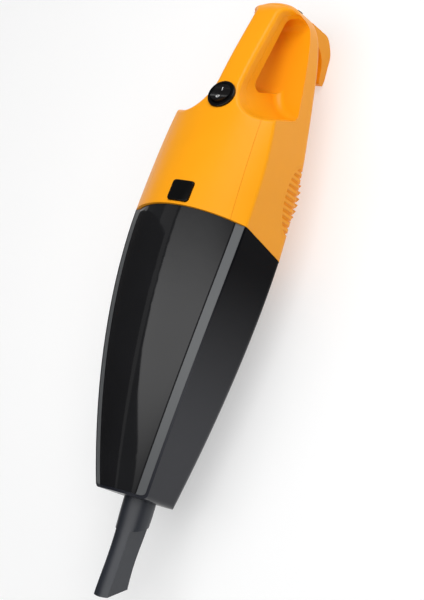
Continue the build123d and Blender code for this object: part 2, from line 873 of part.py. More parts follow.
# ---------------------------------------------------------------- crevice tool
def tool_sides(thin):
    """What is taken off both sides of the tool to leave its flat blade."""
    foot_z, head_z = nozzle_z - 20, nozzle_z + 25
    foot_y, head_y = nose_y - 13 + thin, nose_y - 34 + thin
    front_y = tip_y - 20
    with BuildPart() as sides:
        with BuildSketch(Plane.YZ.offset(blade_half - thin)):
            with BuildLine():
                Polyline((foot_y, foot_z), (front_y, foot_z), (front_y, head_z), (head_y, head_z))
                ThreePointArc((head_y, head_z), (nose_y - 22 + thin, nozzle_z + 3), (foot_y, foot_z))
            make_face()
        extrude(amount=tube_radius)
        mirror(about=Plane.YZ)
    return sides.part


def tool_body(thin):
    """The tool's round body with its flat sides, drawn in by a wall."""
    with BuildPart() as body:
        for distance, radius, height in tool_stations:
            with BuildSketch(Plane.XZ.offset(-nose_y + distance)):
                with Locations((0, height)):
                    Circle(radius - thin)
        loft()
        add(tool_sides(thin), mode=Mode.SUBTRACT)
    return body.part


tip_top_z = 67.0
tip_height = 22.0

with BuildPart() as crevice_tool:
    add(tool_body(0))
    add(along_y(nose_y, nose_y + tail_length, tube_radius, nozzle_z))
    add(tool_body(tube_wall), mode=Mode.SUBTRACT)
    add(along_y(nose_y, nose_y + tail_length + 1, tube_radius - tube_wall, nozzle_z), mode=Mode.SUBTRACT)
    with BuildSketch(Plane.YZ):
        with BuildLine():
            Polyline(
                (tip_y, tip_top_z),
                (tip_y - tip_slant, tip_top_z + tip_height),
                (tip_y - 20, tip_top_z + tip_height),
                (tip_y - 20, tip_top_z - 2 * tip_height),
                (tip_y + tip_slant, tip_top_z - 2 * tip_height),
                (tip_y + tip_slant, tip_top_z - tip_height),
                close=True,
            )
        make_face()
    extrude(amount=20, both=True, mode=Mode.SUBTRACT)

# ---------------------------------------------------------------- hanging hook, screws and grommet
with BuildPart() as hanging_hook:
    with BuildSketch(Plane.YZ) as profile:
        with BuildLine():
            Spline(
                (rear_y, base_z),
                (rear_y - 1.2, 30),
                (rear_y - 4.2, 23.5),
            )
            Spline(
                (rear_y - 4.2, 23.5),
                (rear_y - 5.3, 12),
                (rear_y - 14, 3.2),
                (hook_tip_y + 6, 0),
                tangents=[(0.05, -1), (-1, -0.12)],
            )
            Polyline((hook_tip_y + 6, 0), (hook_tip_y, 1), (hook_tip_y + 0.5, 6.5), (hook_tip_y + 4, 8))
            Spline(
                (hook_tip_y + 4, 8),
                (hook_tip_y + 18, 12),
                (hook_tip_y + 25, 20),
                (hook_tip_y + 26, 33),
                tangents=[(1, 0.15), (0, 1)],
            )
            Polyline(
                (hook_tip_y + 26, 33),
                (hook_tip_y + 18, 33),
                (hook_tip_y + 18, base_z),
                (rear_y, base_z),
            )
        make_face()
        fillet(profile.vertices().sort_by(Axis.X)[:2], 1.5)
    extrude(amount=hook_half, both=True)
    extrude(plan_outline(0, 0), amount=base_z, mode=Mode.INTERSECT)
    with BuildSketch(Plane.XY.offset(base_z)):
        with Locations(*hook_screw_places):
            Circle(screw_radius + running)
    extrude(amount=-screw_length, mode=Mode.SUBTRACT)


def screw(x, y, seat, down):
    """A pan-head screw with its head's underside at a height, pointing down or up."""
    turn = 180 if down else 0
    with BuildPart() as one:
        with Locations(Location((x, y, seat), (turn, 0, 0))):
            Cylinder(screw_radius, screw_length - 1, align=(Align.CENTER, Align.CENTER, Align.MIN))
            Cylinder(screw_head_radius, screw_head_height, align=(Align.CENTER, Align.CENTER, Align.MAX))
    return one.part


with BuildPart() as casing_screws:
    for x, y in post_sides:
        add(screw(x, y, head_seat_z - fit, False))

with BuildPart() as hook_screws:
    for x, y in hook_screw_places:
        add(screw(x, y, base_z + wall + fit, True))

with BuildPart() as cord_grommet:
    add(along_y(rear_y - grommet_length, rear_y + fit, grommet_radius, grommet_z, cord_radius))
    add(along_y(rear_y + fit, rear_y + grommet_flange, grommet_radius + 1.6, grommet_z, cord_radius))

# ---------------------------------------------------------------- motor and fan
fan_y = shroud_y + 4.0
fan_depth = 11.0
diffuser_y = shroud_y + shroud_length
diffuser_thick = 3.0
bracket_thick = 3.0
bracket_radius = 29.0
boss_radius = bearing_radius + 2.5
boss_length = bearing_width + 1.0
bolt_boss = 4.0
eye_radius = 13.0
hub_radius = 7.0
slot_x = 18.6
slot_width = 7.2
slot_low = 17.8
slot_high = 23.4
coil_reach = 3.4
shaft_front_y = fan_y - 3.0
shaft_rear_y = rear_bearing_y + bearing_width + 0.5
field_rear_y = field_y + field_length
rear_bracket_y = rear_bearing_y + 0.5

with BuildPart() as fan_shroud:
    add(along_y(shroud_y, diffuser_y - fit, shroud_radius, motor_z))
    shroud_hollow = along_y(shroud_y + shroud_wall, diffuser_y, shroud_radius - shroud_wall, motor_z)
    add(shroud_hollow, mode=Mode.SUBTRACT)
    add(along_y(shroud_y - 1, shroud_y + 5, eye_radius, motor_z), mode=Mode.SUBTRACT)

with BuildPart() as fan_wheel:
    add(along_y(fan_y, fan_y + fan_depth, hub_radius, motor_z, shaft_radius))
    add(along_y(fan_y + fan_depth - 1.2, fan_y + fan_depth, fan_radius, motor_z, shaft_radius))
    add(along_y(fan_y, fan_y + 1, fan_radius, motor_z, eye_radius))
    with BuildSketch(Plane.XZ.offset(-fan_y - 0.5)):
        with Locations((0, motor_z)):
            with PolarLocations(0, fan_blades):
                with Locations(Location((hub_radius + (fan_radius - hub_radius) / 2, 0), 30)):
                    Rectangle(0.8 * (fan_radius - hub_radius), 1.2)
    extrude(amount=-fan_depth + 1)

with BuildPart() as diffuser:
    add(along_y(diffuser_y, diffuser_y + diffuser_thick, shroud_radius, motor_z, boss_radius))
    with BuildSketch(Plane.XZ.offset(-diffuser_y)):
        with Locations((0, motor_z)):
            with PolarLocations(0.5 * (shroud_radius + boss_radius), 8):
                Rectangle(10, 3.5)
    extrude(amount=-diffuser_thick, mode=Mode.SUBTRACT)

front_bracket_y = diffuser_y + diffuser_thick + fit
with BuildPart() as front_bracket:
    add(along_y(front_bracket_y, front_bracket_y + boss_length + 1, boss_radius, motor_z, bearing_radius))
    with BuildSketch(Plane.XZ.offset(-front_bracket_y)):
        with Locations((0, motor_z)):
            Rectangle(2 * (bolt_x + bolt_boss), 2 * bolt_boss)
            Rectangle(2 * bolt_boss, 2 * bracket_radius)
            Circle(bearing_radius, mode=Mode.SUBTRACT)
    extrude(amount=-bracket_thick)
    with BuildSketch(Plane.XZ.offset(-front_bracket_y)):
        with Locations((bolt_x, motor_z), (-bolt_x, motor_z)):
            Circle(bolt_boss)
    extrude(amount=front_bracket_y + fit - field_y)
    with BuildSketch(Plane.XZ.offset(-front_bracket_y)):
        with Locations((bolt_x, motor_z), (-bolt_x, motor_z)):
            Circle(bolt_radius + running)
    extrude(amount=front_bracket_y - field_y, mode=Mode.SUBTRACT)

with BuildPart() as rear_bracket:
    boss_end_y = rear_rib_y + rear_rib_thick
    add(along_y(rear_bearing_y - 0.5, boss_end_y, rear_boss_radius, motor_z, bearing_radius))
    with BuildSketch(Plane.XZ.offset(-rear_bracket_y)):
        with Locations((0, motor_z)):
            Rectangle(2 * (bolt_x + bolt_boss), 2 * bolt_boss)
            Rectangle(2 * bolt_boss, 46)
            Circle(bearing_radius, mode=Mode.SUBTRACT)
    extrude(amount=-bracket_thick)
    with BuildSketch(Plane.XZ.offset(-field_rear_y - fit)):
        with Locations((bolt_x, motor_z), (-bolt_x, motor_z)):
            Circle(bolt_boss)
    extrude(amount=field_rear_y - rear_bracket_y)
    with BuildSketch(Plane.XZ.offset(-field_rear_y)):
        with Locations((bolt_x, motor_z), (-bolt_x, motor_z)):
            Circle(bolt_radius + running)
    extrude(amount=field_rear_y - rear_bracket_y - 2 * bracket_thick, mode=Mode.SUBTRACT)

bearing_groove = 1.6


def bearing(start):
    """A ball bearing on the shaft, with a groove in its front face."""
    with BuildPart() as ring:
        add(along_y(start, start + bearing_width, bearing_radius, motor_z, shaft_radius + running))
        add(
            along_y(
                start - 1,
                start + 0.6,
                bearing_radius - bearing_groove,
                motor_z,
                shaft_radius + bearing_groove,
            ),
            mode=Mode.SUBTRACT,
        )
    return ring.part


with BuildPart() as front_bearing:
    add(bearing(front_bearing_y))

with BuildPart() as rear_bearing:
    add(bearing(rear_bearing_y))

slot_rise = (slot_low + slot_high) / 2
slot_places = [(side * slot_x, motor_z + up * slot_rise) for side in (1, -1) for up in (1, -1)]
with BuildPart() as field_core:
    with BuildSketch(Plane.XZ.offset(-field_y)):
        with Locations((0, motor_z)):
            RectangleRounded(field_size, field_size, 0.25 * field_size)
            Circle(armature_radius + air_gap, mode=Mode.SUBTRACT)
        with Locations(*slot_places):
            Rectangle(slot_width, slot_high - slot_low, mode=Mode.SUBTRACT)
        with Locations((bolt_x, motor_z), (-bolt_x, motor_z)):
            Circle(bolt_radius + running, mode=Mode.SUBTRACT)
    extrude(amount=-field_length)

coil_outer = slot_x + slot_width / 2 - fit
coil_inner = slot_x - slot_width / 2 + fit
coil_middle_y = field_y + field_length / 2


def coil(bottom):
    """A field coil: a flat loop round one pole of the core."""
    with BuildPart() as loop:
        with BuildSketch(Plane.XY.offset(bottom)):
            with Locations((0, coil_middle_y)):
                RectangleRounded(2 * coil_outer, field_length + 2 * coil_reach, 3)
                RectangleRounded(2 * coil_inner, field_length + 2 * fit, 0.3, mode=Mode.SUBTRACT)
        extrude(amount=slot_high - slot_low - 2 * fit)
    return loop.part


with BuildPart() as field_coil_top:
    add(coil(motor_z + slot_low + fit))

with BuildPart() as field_coil_bottom:
    add(coil(motor_z - slot_high + fit))

armature_slots = 12
winding_radius = 13.5
winding_reach = 2.2
with BuildPart() as armature:
    add(along_y(field_y, field_rear_y, armature_radius, motor_z, shaft_radius))
    with BuildSketch(Plane.XZ.offset(-field_y)):
        with Locations((0, motor_z)):
            with PolarLocations(armature_radius - 1, armature_slots):
                Rectangle(4, 1.6)
    extrude(amount=-field_length, mode=Mode.SUBTRACT)

with BuildPart() as armature_winding:
    add(along_y(field_y - winding_reach, field_y - fit, winding_radius, motor_z, shaft_radius + 1))
    add(along_y(field_rear_y + fit, field_rear_y + winding_reach, winding_radius, motor_z, shaft_radius + 1))
    fillet(armature_winding.edges().group_by(Axis.Y)[0].sort_by(SortBy.LENGTH)[-1:], 1.2)

commutator_y = 118.0
commutator_length = 9.0
commutator_bars = 16
with BuildPart() as commutator:
    add(along_y(commutator_y, commutator_y + commutator_length, commutator_radius, motor_z, shaft_radius))
    with BuildSketch(Plane.XZ.offset(-commutator_y)):
        with Locations((0, motor_z)):
            with PolarLocations(commutator_radius, commutator_bars):
                Rectangle(2, 0.7)
    extrude(amount=-commutator_length + 1, mode=Mode.SUBTRACT)

with BuildPart() as motor_shaft:
    add(along_y(shaft_front_y, shaft_rear_y, shaft_radius, motor_z))
    chamfer(motor_shaft.edges().filter_by(GeomType.CIRCLE), 0.5)

nut_length = fan_y - shaft_front_y - 2 * fit
with BuildPart() as fan_nut:
    with BuildSketch(Plane.XZ.offset(-shaft_front_y)):
        with Locations((0, motor_z)):
            RegularPolygon(hub_radius - 0.5, 6)
            Circle(shaft_radius, mode=Mode.SUBTRACT)
    extrude(amount=-nut_length)

brush_y = commutator_y + 2.5
brush_length = 4.6
brush_half = 2.8
brush_gap = 0.3
brush_out = 20.0
holder_out = 24.0
holder_in = 12.5
holder_wall = 1.2


def brush_box(grow, start, end):
    """An upright box over and under the commutator, grown by a wall."""
    with BuildPart() as box:
        with BuildSketch(Plane.XY.offset(motor_z + start)):
            with Locations((0, brush_y + brush_length / 2)):
                Rectangle(2 * (brush_half + grow), brush_length + 2 * grow)
        extrude(amount=end - start)
        mirror(about=Plane.XY.offset(motor_z))
    return box.part


with BuildPart() as carbon_brushes:
    add(brush_box(0, commutator_radius + brush_gap, brush_out))

with BuildPart() as brush_holders:
    add(brush_box(fit + holder_wall, holder_in, holder_out))
    with BuildSketch(Plane.XZ.offset(-rear_bracket_y + fit)):
        with Locations((0, motor_z)):
            Rectangle(2 * brush_half, 2 * holder_out - 2)
            Rectangle(2 * brush_half, 2 * (holder_in + 1), mode=Mode.SUBTRACT)
    extrude(amount=rear_bracket_y - brush_y - brush_length - fit - holder_wall / 2)
    add(brush_box(fit, 0, brush_out + fit), mode=Mode.SUBTRACT)

bolt_end_y = rear_bracket_y + bracket_thick
with BuildPart() as motor_bolts:
    with BuildSketch(Plane.XZ.offset(-front_bracket_y)):
        with Locations((bolt_x, motor_z), (-bolt_x, motor_z)):
            Circle(bolt_radius)
    extrude(amount=front_bracket_y - bolt_end_y - 1)
    with BuildSketch(Plane.XZ.offset(-bolt_end_y - fit)):
        with Locations((bolt_x, motor_z), (-bolt_x, motor_z)):
            RegularPolygon(bolt_radius + 1.4, 6)
    extrude(amount=-2.5)

mount_bore = 24.5
with BuildPart() as front_mount:
    add(along_y(seam_y - 20, shroud_y - fit, shroud_radius - 2, motor_z, mount_bore))
    split(bisect_by=behind_seam(plate_back + fit), keep=Keep.TOP)

with BuildPart() as rear_mount:
    add(along_y(rear_rib_y, rear_rib_y + rear_rib_thick, rear_mount_radius, motor_z, rear_boss_radius))

pieces = {
    "lower_casing": lower_casing,
    "upper_casing": upper_casing,
    "vent_grille_right": vent_grille_right,
    "vent_grille_left": vent_grille_left,
    "casing_screws": casing_screws,
    "bulkhead": bulkhead,
    "cup_gasket": cup_gasket,
    "dust_cup": dust_cup,
    "top_window": top_window,
    "inlet_duct": inlet_duct,
    "inlet_flap": inlet_flap,
    "flap_pin": flap_pin,
    "crevice_tool": crevice_tool,
    "hanging_hook": hanging_hook,
    "hook_screws": hook_screws,
    "cord_grommet": cord_grommet,
    "switch_body": switch_body,
    "switch_rocker": switch_rocker,
    "release_button": release_button,
    "button_spring": button_spring,
    "filter_frame": filter_frame,
    "filter_element": filter_element,
    "filter_cap": filter_cap,
    "fan_shroud": fan_shroud,
    "fan_wheel": fan_wheel,
    "fan_nut": fan_nut,
    "diffuser": diffuser,
    "front_bracket": front_bracket,
    "rear_bracket": rear_bracket,
    "front_bearing": front_bearing,
    "rear_bearing": rear_bearing,
    "field_core": field_core,
    "field_coil_top": field_coil_top,
    "field_coil_bottom": field_coil_bottom,
    "armature": armature,
    "armature_winding": armature_winding,
    "commutator": commutator,
    "motor_shaft": motor_shaft,
    "carbon_brushes": carbon_brushes,
    "brush_holders": brush_holders,
    "motor_bolts": motor_bolts,
    "front_mount": front_mount,
    "rear_mount": rear_mount,
}
for name, piece in pieces.items():
    piece.part.label = name
    export_step(piece.part, "parts/" + name + ".step")
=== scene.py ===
"""Looks of the handheld vacuum: procedural materials, soft studio light and the photograph's view."""

import json
from math import cos, pi, radians, sin

import bmesh
import bpy
from mathutils import Matrix, Vector

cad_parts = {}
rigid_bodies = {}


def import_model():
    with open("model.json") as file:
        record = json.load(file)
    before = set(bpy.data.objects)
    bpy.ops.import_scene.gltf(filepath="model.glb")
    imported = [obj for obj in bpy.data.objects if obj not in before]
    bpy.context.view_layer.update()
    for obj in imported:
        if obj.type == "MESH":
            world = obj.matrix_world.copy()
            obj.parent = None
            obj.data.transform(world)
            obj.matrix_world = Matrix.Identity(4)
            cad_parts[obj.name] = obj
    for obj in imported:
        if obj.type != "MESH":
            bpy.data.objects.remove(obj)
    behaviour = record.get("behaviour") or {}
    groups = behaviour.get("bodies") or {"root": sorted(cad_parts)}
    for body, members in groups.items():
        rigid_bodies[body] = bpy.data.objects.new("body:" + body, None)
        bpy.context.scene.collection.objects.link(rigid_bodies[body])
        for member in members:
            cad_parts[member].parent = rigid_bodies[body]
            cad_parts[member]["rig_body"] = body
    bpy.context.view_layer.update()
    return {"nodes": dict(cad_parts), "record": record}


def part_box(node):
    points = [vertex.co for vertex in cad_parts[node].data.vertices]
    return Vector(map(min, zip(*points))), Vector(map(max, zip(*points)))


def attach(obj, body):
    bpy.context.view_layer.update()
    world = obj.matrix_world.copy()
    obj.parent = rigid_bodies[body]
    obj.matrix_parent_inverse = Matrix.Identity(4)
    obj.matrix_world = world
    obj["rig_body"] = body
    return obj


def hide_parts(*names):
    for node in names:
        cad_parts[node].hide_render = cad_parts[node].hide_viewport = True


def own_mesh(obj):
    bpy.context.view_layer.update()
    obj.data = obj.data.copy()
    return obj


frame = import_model()
nodes = frame["nodes"]

# ---------------------------------------------------------------- sizes, in metres
CAMERA_PLACE = Vector((0.7637, -0.2021, 1.1101))
CAMERA_RIGHT = Vector((0.804961, 0.28651, -0.519566))
CAMERA_DOWN = Vector((0.151418, -0.945885, -0.287008))
CAMERA_LENS = 103.0
CAMERA_SENSOR = 36.0
SEAM_Y = 0.049              # where the cup meets the casing
CUP_LONG = 0.212
CUP_CURVE = 1.7             # how the cup's sides draw in towards the nose
SEAM_HALF = 0.0524
NOSE_HALF = 0.0242
BEVEL_WIDE = 0.0075
LINE_WIDE = 0.0009
VENT_SLOTS = 11
VENT_PITCH = 0.005
VENT_SLOT = 0.0026
VENT_LONG = 0.0274
VENT_HIGH = 0.0164
LOUVRE_STEPS = 12
LOUVRE_DEEP = 0.0024
LOUVRE_SHALLOW = 0.0006
LOUVRE_THICK = 0.0006
OUTSIDE_X = 0.2             # beside the machine, where the lines that find a louvre's place start
END_Y = 0.2385              # rear face of the grip
END_TOP = 0.0778            # the grip's top line, carried on to the rear face
END_SLOPE = 0.30
END_ROUND = 0.0155
END_STEPS = 10
END_CORE = 0.0115           # outside this half width the rounded end drops away
END_DROP = 0.0035
WELD = 1e-6
SMOOTH_ANGLE = radians(32)
BORE_X = 0.009              # two screw bores that come out at the foot of the rear wall
BORE_Y = 0.226
BORE_RADIUS = 0.0016
BORE_LOW = 0.045
BORE_PLAY = 5e-5
SWITCH_Y = 0.1455
SWITCH_Z = 0.1045
MARK_LEAN = radians(11.5)
MARK_REACH = 0.0038         # from the rocker's middle to each mark
MARK_PROUD = 0.00012
MARK_START = 0.03           # above the rocker, where the lines that find its face start
BAR_HALF = 0.0013
BAR_WIDE = 0.0003
RING_INNER = 0.0009
RING_OUTER = 0.0015
RING_STEPS = 24
FLOOR_REACH = 6.0
FLAG_X = -0.25              # a black flag beside the cup, seen by reflections only
FLAG_FRONT = -0.4
FLAG_REAR = 0.095
FLAG_HIGH = 0.4
OVERHEAD = [                # the light above; its left edge makes the wedge on the clear top
    (-0.50, 0.65),
    (-0.56, 0.22),
    (-0.52, -0.02),
    (-0.37, -0.17),
    (-0.07, -0.34),
    (0.12, -0.50),
    (0.2, -0.65),
    (1.2, -0.65),
    (1.2, 0.65),
]
BROAD_SCALE = 22.0          # drift in colour and gloss over a moulding, in cycles a metre
BUMP_DISTANCE = 0.0002
GLOSS_DRIFT = 0.15          # share by which a moulding's roughness drifts either way
METAL_GRAIN = 40            # grain across the machining lines, in cycles a metre
METAL_DARK = 0.78           # the lines' colour as a share of the metal's
METAL_DRIFT = 0.3
ORANGE = (0.95, 0.36, 0.006)
# The cup's sides: painted shade, black near the casing, and painted light, grey towards the nose.
CUP_BLACK = (0.003, 0.003, 0.004)
CUP_PAINTED_LIGHT_GREY = (0.013, 0.014, 0.020)
CUP_PAINTED_SHEEN = (0.02, 0.3)     # specular level at the casing and at the nose: painted reflection, dimmed near the casing
LID_BLACK = (0.010, 0.010, 0.011)
LID_SHEEN = 0.32
LINE_SHEEN = 0.02
# The bevel's grey: satin plastic, lightened by painted reflection.
BEVEL_GREY_PAINTED_SHEEN = (0.10, 0.104, 0.108)
BEVEL_ROUGH = 0.35
FLOOR_GREY = (0.56, 0.56, 0.56)
FLOOR_GLOW = 0.45           # the floor's own light, in place of a studio's far walls
WORLD_TINT = (0.93, 0.97, 1)
WORLD_LIGHT = 0.14
LIGHT_Y = -0.16             # both overhead panels are centred on this line
PANEL_END = 0.2             # light at a panel's ends as a share of its middle's


def node_tree(name):
    """A new material with its shader and its tree."""
    material = bpy.data.materials.new(name)
    material.use_nodes = True
    shader = material.node_tree.nodes["Principled BSDF"]
    return material, material.node_tree, shader


def moulded(name, color, roughness, grain=0.0004, depth=0.05, tint=0.06, gloss_level=0.5):
    """Moulded plastic: a fine mould texture, faint colour drift and uneven gloss."""
    material, tree, shader = node_tree(name)
    link = tree.links.new
    where = tree.nodes.new("ShaderNodeTexCoord")
    fine = tree.nodes.new("ShaderNodeTexNoise")
    fine.inputs["Scale"].default_value = 1.0 / grain
    fine.inputs["Detail"].default_value = 3.0
    broad = tree.nodes.new("ShaderNodeTexNoise")
    broad.inputs["Scale"].default_value = BROAD_SCALE
    broad.inputs["Detail"].default_value = 4.0
    link(where.outputs["Object"], fine.inputs["Vector"])
    link(where.outputs["Object"], broad.inputs["Vector"])
    drift = tree.nodes.new("ShaderNodeValToRGB")
    drift.color_ramp.elements[0].position = 0.3
    drift.color_ramp.elements[1].position = 0.7
    drift.color_ramp.elements[0].color = (*[c * (1 - tint) for c in color], 1)
    drift.color_ramp.elements[1].color = (*[min(1.0, c * (1 + tint)) for c in color], 1)
    link(broad.outputs["Fac"], drift.inputs["Fac"])
    link(drift.outputs["Color"], shader.inputs["Base Color"])
    gloss = tree.nodes.new("ShaderNodeMapRange")
    gloss.inputs["To Min"].default_value = roughness * (1 - GLOSS_DRIFT)
    gloss.inputs["To Max"].default_value = roughness * (1 + GLOSS_DRIFT)
    link(broad.outputs["Fac"], gloss.inputs["Value"])
    link(gloss.outputs["Result"], shader.inputs["Roughness"])
    bump = tree.nodes.new("ShaderNodeBump")
    bump.inputs["Strength"].default_value = depth
    bump.inputs["Distance"].default_value = BUMP_DISTANCE
    link(fine.outputs["Fac"], bump.inputs["Height"])
    link(bump.outputs["Normal"], shader.inputs["Normal"])
    shader.inputs["Specular IOR Level"].default_value = gloss_level
    return material


def metal(name, color, roughness, lines):
    """Metal with fine machining lines round the Y axis."""
    material, tree, shader = node_tree(name)
    link = tree.links.new
    where = tree.nodes.new("ShaderNodeTexCoord")
    stretch = tree.nodes.new("ShaderNodeMapping")
    stretch.inputs["Scale"].default_value = (METAL_GRAIN, lines, METAL_GRAIN)
    noise = tree.nodes.new("ShaderNodeTexNoise")
    noise.inputs["Scale"].default_value = 1.0
    noise.inputs["Detail"].default_value = 5.0
    link(where.outputs["Object"], stretch.inputs["Vector"])
    link(stretch.outputs["Vector"], noise.inputs["Vector"])
    shade = tree.nodes.new("ShaderNodeValToRGB")
    shade.color_ramp.elements[0].position = 0.35
    shade.color_ramp.elements[1].position = 0.65
    shade.color_ramp.elements[0].color = (*[c * METAL_DARK for c in color], 1)
    shade.color_ramp.elements[1].color = (*color, 1)
    link(noise.outputs["Fac"], shade.inputs["Fac"])
    link(shade.outputs["Color"], shader.inputs["Base Color"])
    rough = tree.nodes.new("ShaderNodeMapRange")
    rough.inputs["To Min"].default_value = roughness * (1 - METAL_DRIFT)
    rough.inputs["To Max"].default_value = roughness * (1 + METAL_DRIFT)
    link(noise.outputs["Fac"], rough.inputs["Value"])
    link(rough.outputs["Result"], shader.inputs["Roughness"])
    shader.inputs["Metallic"].default_value = 1.0
    return material


def painted_shade_graded(name, top, nose, roughness, start, end):
    """Moulded plastic whose colour and sheen change along the part, from y = start to y = end: painted
    shade and painted reflection, darker and duller at start, lighter and glossier at end.
    """
    material = moulded(name, top, roughness, grain=0.001, depth=0.01, tint=0.04)
    tree = material.node_tree
    link = tree.links.new
    shader = tree.nodes["Principled BSDF"]
    where = tree.nodes.new("ShaderNodeTexCoord")
    parts = tree.nodes.new("ShaderNodeSeparateXYZ")
    along = tree.nodes.new("ShaderNodeMapRange")
    along.interpolation_type = "SMOOTHSTEP"
    along.inputs["From Min"].default_value = start
    along.inputs["From Max"].default_value = end
    # Painted shade and light: black near the casing to grey at the nose.
    shade = tree.nodes.new("ShaderNodeValToRGB")
    shade.color_ramp.elements[0].color = (*top, 1)
    shade.color_ramp.elements[1].color = (*nose, 1)
    # Painted reflection: the specular level rises from the casing towards the nose.
    sheen = tree.nodes.new("ShaderNodeMapRange")
    sheen.inputs["To Min"].default_value, sheen.inputs["To Max"].default_value = CUP_PAINTED_SHEEN
    link(where.outputs["Object"], parts.inputs["Vector"])
    link(parts.outputs["Y"], along.inputs["Value"])
    link(along.outputs["Result"], shade.inputs["Fac"])
    link(along.outputs["Result"], sheen.inputs["Value"])
    link(shade.outputs["Color"], shader.inputs["Base Color"])
    link(sheen.outputs["Result"], shader.inputs["Specular IOR Level"])
    return material


def smoked_lid(name):
    """The cup's top: smoked gloss with a grey satin bevel along each edge, its grey partly painted
    reflection, and a dark line beside it.
    """
    material = moulded(name, LID_BLACK, 0.07, grain=0.002, depth=0.004, tint=0.1)
    tree = material.node_tree
    link = tree.links.new
    shader = tree.nodes["Principled BSDF"]

    def step(operation, first, second):
        """The output of one arithmetic node, fed by two numbers or sockets."""
        node = tree.nodes.new("ShaderNodeMath")
        node.operation = operation
        for socket, value in zip(node.inputs, (first, second)):
            if isinstance(value, float):
                socket.default_value = value
            else:
                link(value, socket)
        return node.outputs["Value"]

    where = tree.nodes.new("ShaderNodeTexCoord")
    parts = tree.nodes.new("ShaderNodeSeparateXYZ")
    link(where.outputs["Object"], parts.inputs["Vector"])
    share = step("DIVIDE", step("SUBTRACT", SEAM_Y, parts.outputs["Y"]), CUP_LONG)
    narrowing = step("MULTIPLY", step("POWER", share, CUP_CURVE), SEAM_HALF - NOSE_HALF)
    half = step("SUBTRACT", SEAM_HALF, narrowing)
    from_middle = step("ABSOLUTE", parts.outputs["X"], 0.0)
    inside = step("SUBTRACT", step("SUBTRACT", half, BEVEL_WIDE), from_middle)
    bevel = step("LESS_THAN", inside, 0.0)
    line = step("MULTIPLY", step("LESS_THAN", inside, LINE_WIDE), step("SUBTRACT", 1.0, bevel))
    plain = shader.inputs["Base Color"].links[0].from_socket
    # A mix node's colours are its sockets 6 and 7, and its plain numbers are 2 and 3.
    paint = tree.nodes.new("ShaderNodeMix")
    paint.data_type = "RGBA"
    link(bevel, paint.inputs["Factor"])
    link(plain, paint.inputs[6])
    # Painted reflection: the bevel's grey is lighter than the cup's own dark plastic.
    paint.inputs[7].default_value = (*BEVEL_GREY_PAINTED_SHEEN, 1)
    link(paint.outputs[2], shader.inputs["Base Color"])
    satin = tree.nodes.new("ShaderNodeMix")
    satin.data_type = "FLOAT"
    link(bevel, satin.inputs["Factor"])
    link(shader.inputs["Roughness"].links[0].from_socket, satin.inputs[2])
    satin.inputs[3].default_value = BEVEL_ROUGH
    link(satin.outputs[0], shader.inputs["Roughness"])
    dull = tree.nodes.new("ShaderNodeMapRange")
    dull.inputs["To Min"].default_value = LID_SHEEN
    dull.inputs["To Max"].default_value = LINE_SHEEN
    link(line, dull.inputs["Value"])
    link(dull.outputs["Result"], shader.inputs["Specular IOR Level"])
    return material


finishes = {
    "orange_plastic": moulded(
        "orange_plastic", ORANGE, 0.34, grain=0.0005, depth=0.03, tint=0.02, gloss_level=0.2
    ),
    # Painted shade and painted reflection on the cup's sides, darker and duller near the casing.
    "dark_plastic": painted_shade_graded("dark_plastic", CUP_BLACK, CUP_PAINTED_LIGHT_GREY, 0.3, start=0.03, end=-0.13),
    "smoked_plastic": smoked_lid("smoked_plastic"),
    "grey_plastic": moulded("grey_plastic", (0.020, 0.023, 0.031), 0.42, depth=0.1, tint=0.1),
    "black_gloss": moulded(
        "black_gloss", (0.003, 0.003, 0.003), 0.14, depth=0.02, tint=0.1, gloss_level=0.2
    ),
    "black_rocker": moulded(
        "black_rocker", (0.005, 0.004, 0.004), 0.25, depth=0.03, tint=0.1, gloss_level=0.35
    ),
    "inner_plastic": moulded("inner_plastic", (0.05, 0.05, 0.055), 0.5, depth=0.15, tint=0.1),
    "black_rubber": moulded(
        "black_rubber", (0.014, 0.014, 0.014), 0.7, depth=0.3, grain=0.0008, tint=0.15
    ),
    "zinc_steel": metal("zinc_steel", (0.60, 0.59, 0.56), 0.3, 900),
    "cast_aluminium": metal("cast_aluminium", (0.66, 0.66, 0.68), 0.45, 60),
    "core_steel": metal("core_steel", (0.16, 0.16, 0.18), 0.4, 2500),
    "copper_wire": metal("copper_wire", (0.72, 0.30, 0.12), 0.3, 1500),
    "carbon": moulded("carbon", (0.03, 0.03, 0.03), 0.6, depth=0.3, tint=0.2),
    "filter_cloth": moulded(
        "filter_cloth", (0.80, 0.80, 0.76), 0.9, depth=0.6, grain=0.0006, tint=0.08
    ),
}
slot_of = {part["node"]: part["material_slot"] for part in frame["record"]["subparts"]}
for name, node in nodes.items():
    node.data.materials.clear()
    node.data.materials.append(finishes[slot_of[name]])


def piece(name, points, faces, finish, body):
    """A mesh piece of the visual model that moves with one body."""
    mesh = bpy.data.meshes.new(name)
    mesh.from_pydata(points, [], faces)
    mesh.update()
    made = bpy.data.objects.new(name, mesh)
    bpy.context.scene.collection.objects.link(made)
    made.data.materials.append(finishes[finish])
    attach(made, body)
    return made


# ---------------------------------------------------------------- the button's spring
spring = nodes["button_spring"]
coil = bpy.data.objects.new("button_spring_shown", spring.data.copy())
bpy.context.scene.collection.objects.link(coil)
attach(coil, spring["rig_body"])
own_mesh(coil)
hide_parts("button_spring")

# ---------------------------------------------------------------- the grip's rounded rear end
def end_height(y):
    """Height of the grip's top line near its rear end."""
    return END_TOP - END_SLOPE * (y - END_Y)


def on_bore(place):
    """True for a point on the wall of either screw bore, above the casing's floor."""
    from_axis = Vector((abs(place.x) - BORE_X, place.y - BORE_Y)).length
    return place.z > BORE_LOW and abs(from_axis - BORE_RADIUS) < BORE_PLAY


